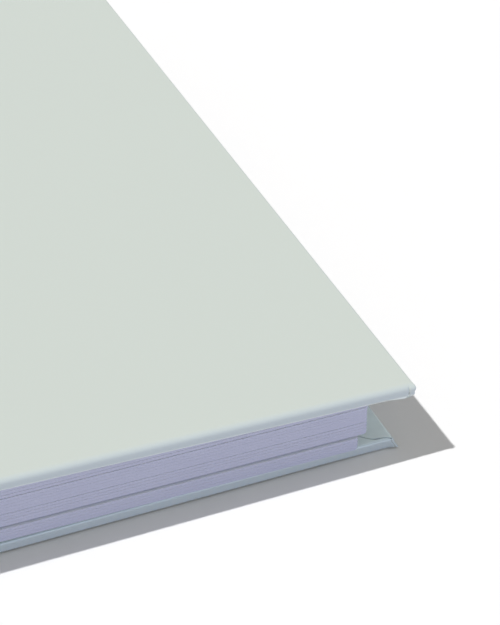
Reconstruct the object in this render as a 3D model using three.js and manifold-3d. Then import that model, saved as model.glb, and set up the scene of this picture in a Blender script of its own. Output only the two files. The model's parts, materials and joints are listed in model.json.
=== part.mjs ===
// A photo album bound with twin-loop wire, closed and lying on its back cover.
// Millimetres. +X runs from the bound edge to the fore-edge, +Y from tail to head, +Z is up.
// The work is done round the axis of the wire loops, which is the axis every sheet turns on.
// At the end the album is tipped until the loops and the back cover's fore-edge touch z = 0.
import * as THREE from "three";
import { mergeVertices } from "three/addons/utils/BufferGeometryUtils.js";
import Module from "manifold-3d";

const wasm = await Module();
wasm.setup();

// Leaves of stiff card, in two piles that have slipped apart. The top few stand a little off the rest.
const LEAF_COUNT = 16;
const LOWER_LEAVES = 4;
const LEAF_WIDTH = 200;
const LEAF_HEIGHT = 200;
const CARD = 0.6;
const LEAF_GAP = 0.15;
const PILE_GAP = 0.5;
const TOP_LEAVES = 3;
const TOP_GAP = 0.25;

// Covers of greyboard wrapped in paper that is turned in and lined
const BOARD = 2;
const PAPER = 0.2;
const PASTE = 0.05;
const FORE_OVERHANG = 10.7;
const END_OVERHANG = 2.4;
const COVER_CORNER = 0.8;
const COVER_EDGE = 0.6;
const TURN_IN = 15;
const LINER_INSET = 11.5;
const LINER_GAP = 0.3;
const LINER_TO_LEAF = 0.15;
const FRONT_LEAN = 1.37; // degrees that the front cover leans down on the leaves

// Seam between two turn-ins: a short run beside the tail or head, then a mitre
const SEAM_WIDTH = 0.25;
const SEAM_START = 0.8;
const SEAM_RUN = 4;
const SEAM_RISE = 0.9;

// Punched row
const HOLE_PITCH = 12.7;
const SPINE_MARGIN = 4;
const ROW_MARGIN = 5;
const LENGTH_PLAY = 0.415;
const SIDE_PLAY = 1.775;
const LEAST_PLAY = 0.1;

// Twin-loop wire
const WIRE = 1.1;
const LEG_SPACING = 1.7;
const BELOW_BACK_COVER = 3.05;
const ABOVE_FRONT_COVER = 5.3;
const LINK_ANGLE = 262;
const LEGS_CLOSED_ANGLE = 290;
const TIP_PAST_LINK = 4;
const BEND = 0.9;
const LOOP_STEPS = 13;
const FLARE_STEPS = 2;
const TIP_STEPS = 4;
const WIRE_SIDES = 5;

// Where each layer hangs in its holes: -1 and 1 are the two ends of its play
const HANG = {
  back: { along: 0, side: 1 },
  lower: { along: -0.72, side: -0.95 },
  upper: { along: -0.46, side: -0.72 },
  front: { along: 0.1, side: -1 },
};

const degrees = THREE.MathUtils.degToRad;

// Sizes that follow
const COVER = BOARD + 2 * (PAPER + PASTE);
const COVER_LINED = COVER + PASTE + PAPER;
const COVER_WIDTH = LEAF_WIDTH + FORE_OVERHANG;
const COVER_HEIGHT = LEAF_HEIGHT + 2 * END_OVERHANG;
const HOLE_WIDTH = LEG_SPACING + WIRE + 2 * SIDE_PLAY;
const LOOP_COUNT = Math.floor((LEAF_HEIGHT - HOLE_WIDTH - 2 * ROW_MARGIN) / HOLE_PITCH) + 1;

// Heights over the outer face of the back cover
const LEAF_PITCH = CARD + LEAF_GAP;
const LOWER_PILE_BOTTOM = COVER_LINED + LINER_TO_LEAF;
const LOWER_PILE_TOP = LOWER_PILE_BOTTOM + LOWER_LEAVES * LEAF_PITCH - LEAF_GAP;
const UPPER_PILE_BOTTOM = LOWER_PILE_TOP + PILE_GAP;
const TOP_RISE = TOP_GAP - LEAF_GAP;
const UPPER_PILE_TOP =
  UPPER_PILE_BOTTOM + (LEAF_COUNT - LOWER_LEAVES) * LEAF_PITCH + TOP_RISE - LEAF_GAP;

// The front liner's fore-edge lies on the top leaf, so the lean lifts the cover at its holes
const LEAN = degrees(FRONT_LEAN);
const LEAN_ARM = COVER_WIDTH - LINER_INSET - SPINE_MARGIN;
const FRONT_MIDDLE =
  UPPER_PILE_TOP +
  LINER_TO_LEAF +
  LEAN_ARM * Math.sin(LEAN) +
  (COVER_LINED - COVER / 2) * Math.cos(LEAN);

// The loops stand out under the back cover and over the front cover
const LOOP_OUTSIDE = (FRONT_MIDDLE + COVER / 2 + BELOW_BACK_COVER + ABOVE_FRONT_COVER) / 2;
const LOOP_RADIUS = LOOP_OUTSIDE - WIRE / 2;
const AXIS_HEIGHT = LOOP_OUTSIDE - BELOW_BACK_COVER;

// Reach of the wire in X between two heights, with the loops' flat facets allowed for
function wireReach(low, high) {
  const facet = Math.cos(Math.PI / LOOP_STEPS);
  const inside = (LOOP_RADIUS - WIRE / 2) * facet;
  const outside = LOOP_RADIUS + WIRE / 2;
  const [bottom, top] = [low - AXIS_HEIGHT, high - AXIS_HEIGHT];
  const far = Math.max(Math.abs(bottom), Math.abs(top));
  const near = bottom * top < 0 ? 0 : Math.min(Math.abs(bottom), Math.abs(top));
  return { from: Math.sqrt(inside ** 2 - far ** 2), to: Math.sqrt(outside ** 2 - near ** 2) };
}

const REACH = {
  back: wireReach(0, COVER),
  lower: wireReach(LOWER_PILE_BOTTOM, LOWER_PILE_TOP),
  upper: wireReach(UPPER_PILE_BOTTOM, UPPER_PILE_TOP),
  front: wireReach(FRONT_MIDDLE - COVER / 2, FRONT_MIDDLE + COVER / 2),
};
const HOLE_LENGTH =
  Math.max(...Object.values(REACH).map((reach) => reach.to - reach.from)) + 2 * LENGTH_PLAY;
const HOLE_FROM_SPINE = SPINE_MARGIN + HOLE_LENGTH / 2;

// X and Y of a layer's middle hole, from where it hangs on the wire
function holePlace(layer) {
  const { from, to } = REACH[layer];
  const play = (HOLE_LENGTH - (to - from)) / 2 - LEAST_PLAY;
  return {
    x: (from + to) / 2 + HANG[layer].along * play,
    y: HANG[layer].side * (SIDE_PLAY - LEAST_PLAY),
  };
}

const holeRow = Array.from({ length: LOOP_COUNT }, (_, i) => (i - (LOOP_COUNT - 1) / 2) * HOLE_PITCH);

const coverPaper = new THREE.MeshStandardMaterial({ color: 0xcfd9d1, roughness: 0.85, metalness: 0 });
const linerPaper = new THREE.MeshStandardMaterial({ color: 0xc8d3ca, roughness: 0.9, metalness: 0 });
const greyboard = new THREE.MeshStandardMaterial({ color: 0x8f8a80, roughness: 0.95, metalness: 0 });
const whiteCard = new THREE.MeshStandardMaterial({ color: 0xf1f0ee, roughness: 0.9, metalness: 0 });
const steelWire = new THREE.MeshStandardMaterial({ color: 0xc9cbcc, roughness: 0.35, metalness: 1 });

function solidOf(geometry) {
  const bare = geometry.clone();
  bare.deleteAttribute("normal");
  bare.deleteAttribute("uv");
  const merged = mergeVertices(bare, 1e-4);
  return new wasm.Manifold(
    new wasm.Mesh({
      numProp: 3,
      vertProperties: merged.attributes.position.array,
      triVerts: new Uint32Array(merged.index.array),
    }),
  );
}

function geometryOf(solid) {
  const mesh = solid.getMesh();
  const geometry = new THREE.BufferGeometry();
  geometry.setAttribute("position", new THREE.BufferAttribute(mesh.vertProperties, 3));
  geometry.setIndex(new THREE.BufferAttribute(mesh.triVerts, 1));
  geometry.computeVertexNormals();
  return geometry;
}

function boxBetween(low, high) {
  const size = high.map((value, i) => value - low[i]);
  const middle = high.map((value, i) => (value + low[i]) / 2);
  return new THREE.BoxGeometry(...size).translate(...middle);
}

function named(name, geometry, material) {
  const mesh = new THREE.Mesh(geometry, material);
  mesh.name = name;
  return mesh;
}

// A slab whose corners are rounded in plan and whose edges are rounded in section
function roundedSlab(inset, thickness, base) {
  const edge = COVER_EDGE - inset;
  const corner = Math.max(COVER_CORNER - inset, edge);
  const [left, right] = [inset, COVER_WIDTH - inset];
  const half = COVER_HEIGHT / 2 - inset;
  const outline = new THREE.Shape();
  outline.moveTo(left + corner, -half);
  outline.absarc(right - corner, -half + corner, corner, -Math.PI / 2, 0, false);
  outline.absarc(right - corner, half - corner, corner, 0, Math.PI / 2, false);
  outline.absarc(left + corner, half - corner, corner, Math.PI / 2, Math.PI, false);
  outline.absarc(left + corner, -half + corner, corner, Math.PI, 1.5 * Math.PI, false);
  return new THREE.ExtrudeGeometry(outline, {
    depth: thickness - 2 * edge,
    bevelThickness: edge,
    bevelSize: edge,
    bevelOffset: -edge,
    bevelSegments: 2,
    curveSegments: 3,
  }).translate(0, 0, base + edge);
}

function punch(solid) {
  let punched = solid;
  for (const y of holeRow) {
    const low = [SPINE_MARGIN, y - HOLE_WIDTH / 2, -COVER];
    const high = [SPINE_MARGIN + HOLE_LENGTH, y + HOLE_WIDTH / 2, 2 * COVER];
    punched = punched.subtract(solidOf(boxBetween(low, high)));
  }
  return punched;
}

// The seam's course at one corner, as distances in from the side edge and from the tail or head
function seamCourse() {
  const mitre = TURN_IN - SEAM_RISE + SEAM_WIDTH;
  return [
    [SEAM_START, (SEAM_START / SEAM_RUN) * SEAM_RISE],
    [SEAM_RUN, SEAM_RISE],
    [SEAM_RUN + mitre, SEAM_RISE + mitre],
  ];
}

function cutSeams(solid) {
  const course = seamCourse();
  const depth = 2 * PAPER + PASTE;
  let cut = solid;
  for (const right of [true, false]) {
    for (const side of [-1, 1]) {
      const corner = course.map(([inward, up]) => [
        right ? COVER_WIDTH - inward : inward,
        side * (COVER_HEIGHT / 2 - up),
      ]);
      corner.slice(1).forEach(([x, y], i) => {
        const [fromX, fromY] = corner[i];
        const length = Math.hypot(x - fromX, y - fromY) + SEAM_WIDTH;
        const slit = new THREE.BoxGeometry(length, SEAM_WIDTH, depth)
          .rotateZ(Math.atan2(y - fromY, x - fromX))
          .translate((x + fromX) / 2, (y + fromY) / 2, COVER);
        cut = cut.subtract(solidOf(slit));
      });
    }
  }
  return cut;
}

// Paper over the outer face and the four edges, turned in over the inner face
function wrapGeometry() {
  const outside = solidOf(roundedSlab(0, COVER, 0));
  const pocket = solidOf(roundedSlab(PAPER, COVER - 2 * PAPER, PAPER));
  const half = COVER_HEIGHT / 2 - TURN_IN;
  const window = boxBetween([TURN_IN, -half, COVER / 2], [COVER_WIDTH - TURN_IN, half, 2 * COVER]);
  const shell = outside.subtract(pocket).subtract(solidOf(window));
  return geometryOf(punch(cutSeams(shell)));
}

function boardGeometry() {
  return geometryOf(punch(solidOf(roundedSlab(PAPER + PASTE, BOARD, PAPER + PASTE))));
}

// Filler in the window between the turn-ins, and the lining sheet that laps over them
function linerGeometry() {
  const lap = COVER_HEIGHT / 2 - LINER_INSET;
  const fill = COVER_HEIGHT / 2 - TURN_IN - LINER_GAP;
  const sheet = boxBetween(
    [LINER_INSET, -lap, COVER + PASTE],
    [COVER_WIDTH - LINER_INSET, lap, COVER_LINED],
  );
  const filler = boxBetween(
    [TURN_IN + LINER_GAP, -fill, COVER - PAPER],
    [COVER_WIDTH - TURN_IN - LINER_GAP, fill, COVER_LINED],
  );
  return geometryOf(solidOf(sheet).add(solidOf(filler)));
}

function coverPieces(name) {
  const pieces = new THREE.Group();
  pieces.add(
    named(name + "_board", boardGeometry(), greyboard),
    named(name + "_wrap", wrapGeometry(), coverPaper),
    named(name + "_liner", linerGeometry(), linerPaper),
  );
  return pieces;
}

function backCover() {
  const { x, y } = holePlace("back");
  const cover = coverPieces("back");
  cover.position.set(x - HOLE_FROM_SPINE, y, -AXIS_HEIGHT);
  return cover;
}

// The same cover turned face up, hung by its hole row and leaning on the top leaf
function frontCover() {
  const { x, y } = holePlace("front");
  const pieces = coverPieces("front");
  pieces.rotation.x = Math.PI;
  pieces.position.set(-HOLE_FROM_SPINE, 0, COVER / 2);
  const cover = new THREE.Group();
  cover.add(pieces);
  cover.rotation.y = LEAN;
  cover.position.set(x, y, FRONT_MIDDLE - AXIS_HEIGHT);
  return cover;
}

function leafGeometry() {
  const half = LEAF_HEIGHT / 2;
  const outline = new THREE.Shape();
  outline.moveTo(0, -half).lineTo(LEAF_WIDTH, -half).lineTo(LEAF_WIDTH, half).lineTo(0, half);
  for (const y of holeRow) {
    const [near, far] = [SPINE_MARGIN, SPINE_MARGIN + HOLE_LENGTH];
    const [low, high] = [y - HOLE_WIDTH / 2, y + HOLE_WIDTH / 2];
    const hole = new THREE.Path();
    hole.moveTo(near, low).lineTo(near, high).lineTo(far, high).lineTo(far, low);
    outline.holes.push(hole);
  }
  return new THREE.ExtrudeGeometry(outline, { depth: CARD, bevelEnabled: false });
}

// Height of a leaf's underside, from the number of leaves below it
function leafBottom(below) {
  if (below < LOWER_LEAVES) return LOWER_PILE_BOTTOM + below * LEAF_PITCH;
  const rise = below < LEAF_COUNT - TOP_LEAVES ? 0 : TOP_RISE;
  return UPPER_PILE_BOTTOM + (below - LOWER_LEAVES) * LEAF_PITCH + rise;
}

// Leaf 1 is the top one, under the front cover
function leaves() {
  const pile = new THREE.Group();
  const geometry = leafGeometry();
  for (let number = 1; number <= LEAF_COUNT; number += 1) {
    const below = LEAF_COUNT - number;
    const { x, y } = holePlace(below < LOWER_LEAVES ? "lower" : "upper");
    const leaf = named("leaf_" + String(number).padStart(2, "0"), geometry, whiteCard);
    leaf.position.set(x - HOLE_FROM_SPINE, y, leafBottom(below) - AXIS_HEIGHT);
    pile.add(leaf);
  }
  return pile;
}

function onLoop(angle, y) {
  const turn = degrees(angle);
  return new THREE.Vector3(LOOP_RADIUS * Math.cos(turn), y, LOOP_RADIUS * Math.sin(turn));
}

// One loop: a leg up through the hole and round, the tip, and the other leg back
function loopPoints(middle) {
  const perMillimetre = 180 / (Math.PI * LOOP_RADIUS);
  const start = LINK_ANGLE + BEND * perMillimetre;
  const tipRadius = LEG_SPACING / 2;
  const legEnd = LINK_ANGLE + TIP_PAST_LINK + 360 - tipRadius * perMillimetre;
  const linkHalf = HOLE_PITCH / 4;
  const leg = [];
  for (let i = 0; i < FLARE_STEPS; i += 1) {
    const share = i / FLARE_STEPS;
    const eased = share * share * (3 - 2 * share);
    const angle = start + (LEGS_CLOSED_ANGLE - start) * share;
    leg.push([angle, linkHalf + (tipRadius - linkHalf) * eased]);
  }
  for (let i = 0; i <= LOOP_STEPS; i += 1) {
    leg.push([LEGS_CLOSED_ANGLE + ((legEnd - LEGS_CLOSED_ANGLE) * i) / LOOP_STEPS, tipRadius]);
  }
  const tip = [];
  for (let i = 1; i < TIP_STEPS; i += 1) {
    const round = (Math.PI * i) / TIP_STEPS;
    const angle = legEnd + tipRadius * Math.sin(round) * perMillimetre;
    tip.push(onLoop(angle, middle - tipRadius * Math.cos(round)));
  }
  const out = leg.map(([angle, half]) => onLoop(angle, middle - half));
  const back = leg.map(([angle, half]) => onLoop(angle, middle + half)).reverse();
  return [
    onLoop(LINK_ANGLE, middle - linkHalf - BEND),
    ...out,
    ...tip,
    ...back,
    onLoop(LINK_ANGLE, middle + linkHalf + BEND),
  ];
}

// A round wire swept along points, with its section carried along without twist
function wireAlong(points, radius, sides) {
  const last = points.length - 1;
  const tangent = (i) =>
    new THREE.Vector3()
      .subVectors(points[Math.min(i + 1, last)], points[Math.max(i - 1, 0)])
      .normalize();
  const vertices = [];
  const triangles = [];
  let along = tangent(0);
  const across = new THREE.Vector3(0, 0, 1).cross(along).normalize();
  points.forEach((point, i) => {
    const next = tangent(i);
    across.applyQuaternion(new THREE.Quaternion().setFromUnitVectors(along, next));
    along = next;
    const third = new THREE.Vector3().crossVectors(along, across);
    for (let j = 0; j < sides; j += 1) {
      const turn = (2 * Math.PI * j) / sides;
      const vertex = point.clone().addScaledVector(across, radius * Math.cos(turn));
      vertices.push(...vertex.addScaledVector(third, radius * Math.sin(turn)).toArray());
    }
  });
  for (let i = 0; i < last; i += 1) {
    for (let j = 0; j < sides; j += 1) {
      const [a, b] = [i * sides + j, i * sides + ((j + 1) % sides)];
      triangles.push(a, b, b + sides, a, b + sides, a + sides);
    }
  }
  for (let j = 1; j < sides - 1; j += 1) {
    const end = last * sides;
    triangles.push(0, j + 1, j, end, end + j, end + j + 1);
  }
  const geometry = new THREE.BufferGeometry();
  geometry.setAttribute("position", new THREE.Float32BufferAttribute(vertices, 3));
  geometry.setIndex(triangles);
  geometry.computeVertexNormals();
  return geometry;
}

function wireBinding() {
  const points = holeRow.flatMap(loopPoints);
  return named("wire_binding", wireAlong(points, WIRE / 2, WIRE_SIDES), steelWire);
}

// Angle at which the loops and the back cover's rounded fore-edge rest on one plane
function restingTilt() {
  const foreEdge = holePlace("back").x - HOLE_FROM_SPINE + COVER_WIDTH;
  const [x, drop] = [foreEdge - COVER_EDGE, AXIS_HEIGHT - COVER_EDGE];
  return Math.asin((LOOP_OUTSIDE - COVER_EDGE) / Math.hypot(x, drop)) - Math.atan2(drop, x);
}

const album = new THREE.Group();
album.add(backCover(), frontCover(), leaves(), wireBinding());
album.rotation.y = restingTilt();
album.updateMatrixWorld(true);

// The origin is the middle of the album's box, at the height of the table
const box = new THREE.Box3().setFromObject(album, true);
const middle = box.getCenter(new THREE.Vector3());
album.position.set(-middle.x, -middle.y, -box.min.z);

export default album;
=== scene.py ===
# %% [markdown]
# # A square album on twin-loop wire
#
# Two hard covers wrapped in pale green paper, a block of thick white card leaves, and a steel
# wire whose paired loops pass through a row of punched holes. The frame is loaded first. It says
# where each piece is, so a finer piece is always worked out from the plain one that it replaces.

# %% Load the frame
import json
import math

import bmesh
import bpy
import numpy as np
from mathutils import Matrix, Vector, noise


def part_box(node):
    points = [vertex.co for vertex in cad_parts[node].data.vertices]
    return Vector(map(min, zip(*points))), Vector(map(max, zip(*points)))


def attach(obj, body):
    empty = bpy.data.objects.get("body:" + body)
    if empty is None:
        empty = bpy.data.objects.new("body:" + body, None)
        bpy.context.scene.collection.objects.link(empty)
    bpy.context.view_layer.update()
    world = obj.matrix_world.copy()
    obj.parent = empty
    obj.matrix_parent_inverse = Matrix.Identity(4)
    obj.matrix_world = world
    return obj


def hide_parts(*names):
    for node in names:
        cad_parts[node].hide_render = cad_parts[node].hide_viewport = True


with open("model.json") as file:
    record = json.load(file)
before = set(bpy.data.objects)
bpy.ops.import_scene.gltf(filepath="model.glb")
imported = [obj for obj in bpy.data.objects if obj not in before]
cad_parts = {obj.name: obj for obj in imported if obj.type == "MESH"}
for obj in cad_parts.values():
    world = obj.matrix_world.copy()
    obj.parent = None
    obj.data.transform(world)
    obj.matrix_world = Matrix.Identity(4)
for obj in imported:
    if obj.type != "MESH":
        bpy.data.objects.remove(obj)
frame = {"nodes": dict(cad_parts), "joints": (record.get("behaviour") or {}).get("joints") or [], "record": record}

MM = 0.001
QUARTER_TURN = math.pi / 2
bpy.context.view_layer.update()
bpy.context.scene.view_settings.view_transform = "Standard"

# %% [markdown]
# ## The axes of the sheets
#
# Every sheet turns on the middle of the wire loops. The closed album lies a little tipped, and
# the front cover leans on the leaves, so neither lies along the axes of the frame. The two cover
# faces in the record give the slopes. Measured in axes with the same slope, a sheet is a plain
# box again, and that is how each finer piece gets its place and size.

# %% Slopes and boxes
PIVOT = Vector(frame["joints"][0]["pos_m"])
FACES = {mount["name"]: Vector(mount["axis"]) for mount in frame["record"]["mounts"]}
BACK_SLOPE = math.atan2(-FACES["back_cover_face"].x, -FACES["back_cover_face"].z)
FRONT_SLOPE = math.atan2(FACES["front_cover_face"].x, FACES["front_cover_face"].z)


def placed(slope):
    """Matrix from a sheet's own axes, with the pivot as their origin, to the frame."""
    return Matrix.Translation(PIVOT) @ Matrix.Rotation(slope, 4, "Y")


def own_points(node, slope):
    """Points of a plain node in axes with this slope."""
    back = placed(slope).inverted()
    return np.array([back @ vertex.co for vertex in frame["nodes"][node].data.vertices])


def own_box(node, slope):
    """Lowest and highest corners of a plain node in axes with this slope."""
    points = own_points(node, slope)
    return Vector(points.min(0)), Vector(points.max(0))


BACK_LOW, BACK_HIGH = own_box("back_wrap", BACK_SLOPE)
FRONT_LOW, FRONT_HIGH = own_box("front_wrap", FRONT_SLOPE)
COVER_SIZE = BACK_HIGH - BACK_LOW
COVER_WIDTH, COVER_HEIGHT, COVER = COVER_SIZE
print("slopes in degrees:", round(math.degrees(BACK_SLOPE), 3), round(math.degrees(FRONT_SLOPE), 3))
print("cover in mm:", [round(side / MM, 2) for side in COVER_SIZE])

# %% [markdown]
# ## Camera
#
# The camera comes first, because every finish is judged through it. The straight edges of the
# covers gave its turn, height and distance. One corner of the back cover has a known place in
# the picture, so the camera is put where that corner lands on its pixel, with no shift or roll.

# %% Camera
PICTURE_WIDTH = 500
PICTURE_HEIGHT = 625
CAMERA_TURN = math.radians(-22.958)
CAMERA_HEIGHT = math.radians(35.381)
CAMERA_DISTANCE = 450 * MM
FOCAL_PIXELS = 2159.6
CORNER_PIXEL = (393.65, 447.64)
SENSOR = 36


def add_object(name, data):
    """A new object in the scene, with this lens, lamp or mesh."""
    made = bpy.data.objects.new(name, data)
    bpy.context.scene.collection.objects.link(made)
    return made


table_corner = Vector((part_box("back_wrap")[1].x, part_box("back_wrap")[0].y, 0))
backward = Vector((
    math.sin(CAMERA_TURN) * math.cos(CAMERA_HEIGHT),
    -math.cos(CAMERA_TURN) * math.cos(CAMERA_HEIGHT),
    math.sin(CAMERA_HEIGHT),
))
rightward = Vector((math.cos(CAMERA_TURN), math.sin(CAMERA_TURN), 0))
upward = backward.cross(rightward)
across = (CORNER_PIXEL[0] - PICTURE_WIDTH / 2) / FOCAL_PIXELS
along = (PICTURE_HEIGHT / 2 - CORNER_PIXEL[1]) / FOCAL_PIXELS
eye = table_corner + CAMERA_DISTANCE * (backward - rightward * across - upward * along)

lens = bpy.data.cameras.new("camera")
lens.sensor_fit = "VERTICAL"
lens.sensor_height = SENSOR
lens.lens = FOCAL_PIXELS / PICTURE_HEIGHT * SENSOR
camera = add_object("camera", lens)
facing = Matrix((rightward, upward, backward)).transposed().to_4x4()
camera.matrix_world = Matrix.Translation(eye) @ facing
bpy.context.scene.camera = camera
print("camera at", [round(value, 3) for value in eye], "lens", round(lens.lens, 1))

# %% [markdown]
# ## Ways to write a node tree
#
# The world, the materials and the repeated shapes are all made of nodes. Small functions keep the
# trees short: one adds a node and another gives it its inputs, three give the result of a Math, a
# Mix or a Combine XYZ node, and one makes a material. Two more are for groups: one starts a group
# with named sockets, and one runs a shape tree on an empty object and keeps a plain mesh.

# %% Node helpers
def feed(tree, node, inputs):
    """Give a node its inputs. A socket is joined, and any other value is set."""
    for key, value in inputs.items():
        if isinstance(value, bpy.types.NodeSocket):
            tree.links.new(value, node.inputs[key])
        else:
            node.inputs[key].default_value = value


def put(tree, kind, inputs=None, **choices):
    """Add a node with these inputs and choices."""
    node = tree.nodes.new(kind)
    for name, value in choices.items():
        setattr(node, name, value)
    feed(tree, node, inputs or {})
    return node


def maths(tree, operation, first, second=0.0, third=0.0, **choices):
    """The value of one Math node."""
    inputs = {0: first, 1: second, 2: third}
    return put(tree, "ShaderNodeMath", inputs, operation=operation, **choices).outputs[0]


def blend_colours(tree, mode, factor, first, second):
    """The colour of one Mix node."""
    inputs = {0: factor, 6: first, 7: second}
    return put(tree, "ShaderNodeMix", inputs, data_type="RGBA", blend_type=mode).outputs[2]


def xyz(tree, x=0.0, y=0.0, z=0.0):
    """A vector, or a colour, from three values."""
    return put(tree, "ShaderNodeCombineXYZ", {0: x, 1: y, 2: z}).outputs[0]


def new_material(name):
    """A new material, with its tree and its Principled shader."""
    material = bpy.data.materials.new(name)
    material.use_nodes = True
    return material, material.node_tree, material.node_tree.nodes["Principled BSDF"]


def new_group(kind, name, inputs, outputs):
    """A group with named sockets. Returns it with what flows in and where its results go."""
    group = bpy.data.node_groups.new(name, kind)
    for label, (socket, value) in inputs.items():
        made = group.interface.new_socket(label, in_out="INPUT", socket_type="NodeSocket" + socket)
        if value is not None:
            made.default_value = value
    for label, socket in outputs.items():
        group.interface.new_socket(label, in_out="OUTPUT", socket_type="NodeSocket" + socket)
    given = group.nodes.new("NodeGroupInput").outputs
    wanted = group.nodes.new("NodeGroupOutput").inputs
    return group, given, wanted


def grow(name, group, values, start=None):
    """Run a shape tree once and return its result as a plain mesh."""
    carrier = add_object(name, start or bpy.data.meshes.new(name))
    modifier = carrier.modifiers.new("grow", "NODES")
    modifier.node_group = group
    for item in group.interface.items_tree:
        if item.in_out == "INPUT" and item.name in values:
            modifier[item.identifier] = values[item.name]
    grown = carrier.evaluated_get(bpy.context.evaluated_depsgraph_get())
    mesh = bpy.data.meshes.new_from_object(grown)
    mesh.name = name
    carrier.modifiers.remove(modifier)
    bpy.data.objects.remove(carrier)
    return mesh


print("node helpers ready")

# %% [markdown]
# ## Light and table
#
# One small lamp, high on the bound side, draws the hard edge of the shadow, and an even sky fills
# it. Together they light a level white sheet to about white, so a colour comes out as it is
# written. A weak cool lamp, low in front like a window, makes the upright faces bluer than the
# level ones. It lights the album alone, since the shadow on the table is a plain grey, and it
# doesn't show in the gloss.

# %% Lamps
SUN_TURN = math.radians(-79.9)
SUN_HEIGHT = math.radians(61.9)
SUN_SPREAD = math.radians(1.5)
SUN_SHARE = 0.68
SUN_COLOUR = (1, 1, 1)
WINDOW_TURN = math.radians(150)
WINDOW_HEIGHT = math.radians(20)
WINDOW_SPREAD = math.radians(40)
WINDOW_SHARE = 0.40
WINDOW_COLOUR = (0.27, 0.44, 0.93)


def lamp_from(name, turn, height, spread, strength, colour):
    """A far lamp in this direction that lights a sheet facing it to this share of white."""
    lamp = bpy.data.lights.new(name, "SUN")
    lamp.energy = strength * math.pi
    lamp.color = colour
    lamp.angle = spread
    level = math.cos(height)
    toward = Vector((math.sin(turn) * level, math.cos(turn) * level, math.sin(height)))
    holder = add_object(name, lamp)
    holder.rotation_euler = toward.to_track_quat("Z", "Y").to_euler()
    return holder


lamp_from("sun", SUN_TURN, SUN_HEIGHT, SUN_SPREAD, SUN_SHARE / math.sin(SUN_HEIGHT), SUN_COLOUR)
window = lamp_from("window", WINDOW_TURN, WINDOW_HEIGHT, WINDOW_SPREAD, WINDOW_SHARE, WINDOW_COLOUR)
album = bpy.data.collections.new("album")
window.light_linking.receiver_collection = album
window.visible_glossy = False
print("sun", SUN_SHARE, "window", WINDOW_SHARE)

# %% [markdown]
# The table is white, and the world behind it shows white as well. Both look so only to the camera,
# straight on or in the metal of the wire. What lights the album is a weaker sky, and a table that
# throws back a little less light, slightly violet, as the upright faces in the picture show it.

# %% World and table
SKY_COLOUR = (0.98, 0.98, 0.965, 1)
SKY_SHARE = 0.37
BACKGROUND_COLOUR = (1, 1, 1, 1)
TABLE_SIDE = 6.0
TABLE_COLOUR = (0.972, 0.967, 0.968, 1)
BOUNCE_COLOUR = (0.86, 0.83, 0.90, 1)


def two_looks(tree, end, lighting, seen):
    """Show one shader to the camera, also in metal or through glass, and another to other rays."""
    path = put(tree, "ShaderNodeLightPath").outputs
    straight = maths(tree, "MAXIMUM", path["Is Camera Ray"], path["Is Glossy Ray"])
    straight = maths(tree, "MAXIMUM", straight, path["Is Transmission Ray"])
    looks = {0: straight, 1: lighting.outputs[0], 2: seen.outputs[0]}
    feed(tree, end, {"Surface": put(tree, "ShaderNodeMixShader", looks).outputs[0]})


world = bpy.data.worlds.new("sky")
world.use_nodes = True
bpy.context.scene.world = world
sky = world.node_tree
sky.nodes.clear()
fill = put(sky, "ShaderNodeBackground", {"Color": SKY_COLOUR, "Strength": SKY_SHARE})
background = put(sky, "ShaderNodeBackground", {"Color": BACKGROUND_COLOUR})
two_looks(sky, put(sky, "ShaderNodeOutputWorld"), fill, background)

half = TABLE_SIDE / 2
corners = [(-half, -half, 0), (half, -half, 0), (half, half, 0), (-half, half, 0)]
table_mesh = bpy.data.meshes.new("table")
table_mesh.from_pydata(corners, [], [(0, 1, 2, 3)])
table_paint, tree, matt = new_material("table_paint")
feed(tree, matt, {"Base Color": TABLE_COLOUR, "Roughness": 1, "Specular IOR Level": 0})
bounce = put(tree, "ShaderNodeBsdfDiffuse", {"Color": BOUNCE_COLOUR})
two_looks(tree, tree.nodes["Material Output"], bounce, matt)
table_mesh.materials.append(table_paint)
table = add_object("table", table_mesh)
print("sky", SKY_SHARE, "table nodes:", len(tree.nodes))

# %% [markdown]
# ## Paper, card and board
#
# Close up, paper is never one colour. The pulp clouds a little over a few centimetres, fibres lie
# in it at about half a millimetre, and a few dark specks are left. All three are noise at those
# sizes, so one group gives every sheet its tint and the height for its bump, each with its own
# amounts. Distances are in metres of the piece's own Object coordinates.

# %% Group for the look of pulp
CLOUD_DETAIL = 3
FIBRE_DETAIL = 2
FINE_DETAIL = 1
FINE_SIZE_SHARE = 0.3
FINE_HEIGHT_SHARE = 0.35

pulp, given, wanted = new_group(
    "ShaderNodeTree",
    "pulp",
    {
        "Colour": ("Color", (0.6, 0.6, 0.6, 1)),
        "Cloud Size": ("Float", 30 * MM),
        "Cloud Share": ("Float", 0.01),
        "Fibre Size": ("Float", 0.5 * MM),
        "Fibre Share": ("Float", 0.01),
        "Speck Spacing": ("Float", 12 * MM),
        "Speck Radius": ("Float", 0.12 * MM),
        "Speck Share": ("Float", 0.2),
    },
    {"Colour": "Color", "Height": "Float"},
)
place = put(pulp, "ShaderNodeTexCoord").outputs["Object"]


def noise_at(tree, size, detail, spot):
    """Noise from -1 to 1 with features of about this size."""
    scale = maths(tree, "DIVIDE", 1.0, size)
    texture = put(tree, "ShaderNodeTexNoise", {"Vector": spot, "Scale": scale, "Detail": detail})
    return maths(tree, "MULTIPLY_ADD", texture.outputs["Fac"], 2.0, -1.0)


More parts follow.
